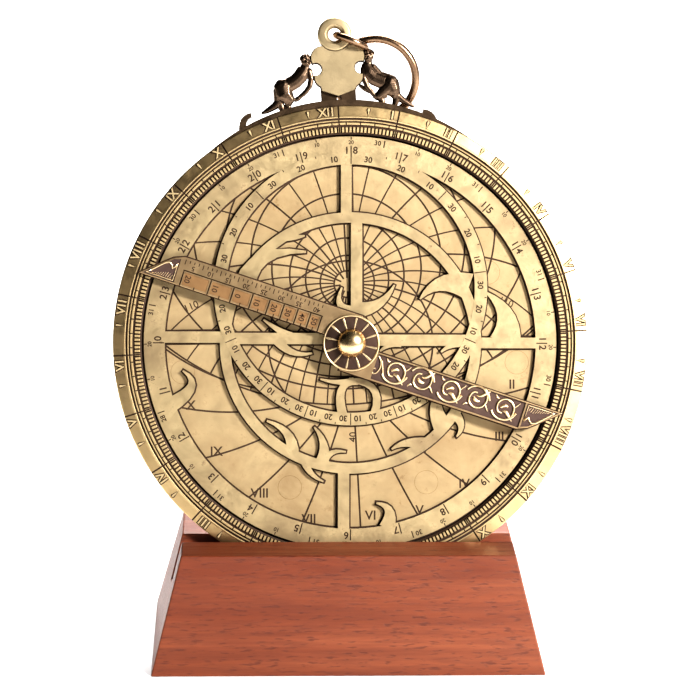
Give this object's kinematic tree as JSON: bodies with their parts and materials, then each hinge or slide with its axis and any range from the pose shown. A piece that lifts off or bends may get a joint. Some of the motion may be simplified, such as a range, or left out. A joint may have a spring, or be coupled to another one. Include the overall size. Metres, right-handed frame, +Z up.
{
  "type": "astrolabe",
  "caption": "Planispheric astrolabe with a pierced rotating star map, a front rule, a back alidade with folding sights and a hanging ring, leaning in a slotted hardwood stand.",
  "frame": {"origin": "middle of the stand's underside", "axes": "+Z up, -Y towards the viewer and the front of the disc, +X to the viewer's right"},
  "size_m": [0.15, 0.0767, 0.1943],
  "materials": {
    "brass_polished": "worn satin antique brass, bright on the raised faces",
    "brass_dark": "dark aged brass, brown patina in the recesses",
    "hardwood": "reddish hardwood under a satin varnish, grain along its width"
  },
  "bodies": {
    "stand": {"stand_block": "hardwood"},
    "astrolabe": {"mater_plate": "brass_polished", "limb_ring": "brass_polished", "tympan": "brass_polished", "tympan_peg": "brass_dark", "throne_band": "brass_dark", "throne_shield": "brass_polished", "figure_left": "brass_dark", "figure_right": "brass_dark", "suspension_eye": "brass_polished", "pivot_pin": "brass_polished", "rete_spacer": "brass_dark", "rosette_washer": "brass_dark", "domed_nut": "brass_polished", "back_washer": "brass_dark"},
    "star_map": {"rete": "brass_polished"},
    "rule": {"rule": "brass_dark"},
    "alidade": {"alidade": "brass_polished", "sight_pin_left": "brass_dark", "sight_pin_right": "brass_dark"},
    "sight_left": {"sight_left": "brass_polished"},
    "sight_right": {"sight_right": "brass_polished"},
    "link": {"suspension_link": "brass_dark"},
    "ring": {"suspension_ring": "brass_dark"}
  },
  "joints": [
    {"name": "astrolabe_lift", "type": "slide", "parent": "stand", "child": "astrolabe", "axis": [0, 0.2756, 0.9613], "range_m": [0, 0.06]},
    {"name": "star_map_turn", "type": "hinge", "parent": "astrolabe", "child": "star_map", "pos_m": [0.001, 0.01541, 0.09427], "axis": [0, -0.9613, 0.2756], "continuous": true},
    {"name": "rule_turn", "type": "hinge", "parent": "astrolabe", "child": "rule", "pos_m": [0.001, 0.01541, 0.09427], "axis": [0, -0.9613, 0.2756], "range_deg": [-40, 73]},
    {"name": "alidade_turn", "type": "hinge", "parent": "astrolabe", "child": "alidade", "pos_m": [0.001, 0.01541, 0.09427], "axis": [0, -0.9613, 0.2756], "range_deg": [-55, 55]},
    {"name": "sight_left_fold", "type": "hinge", "parent": "alidade", "child": "sight_left", "pos_m": [-0.056, 0.01887, 0.09328], "axis": [0, 0.2756, 0.9613], "range_deg": [0, 90]},
    {"name": "sight_right_fold", "type": "hinge", "parent": "alidade", "child": "sight_right", "pos_m": [0.058, 0.01887, 0.09328], "axis": [0, -0.2756, -0.9613], "range_deg": [0, 90]},
    {"name": "link_swing", "type": "hinge", "parent": "astrolabe", "child": "link", "pos_m": [-0.00425, 0.03884, 0.18904], "axis": [0, -0.9613, 0.2756], "range_deg": [0, 150]},
    {"name": "ring_swing", "type": "hinge", "parent": "link", "child": "ring", "pos_m": [0.00597, 0.04036, 0.18258], "axis": [-0.0891, -0.996, -0.0052], "range_deg": [-20, 75]}
  ]
}
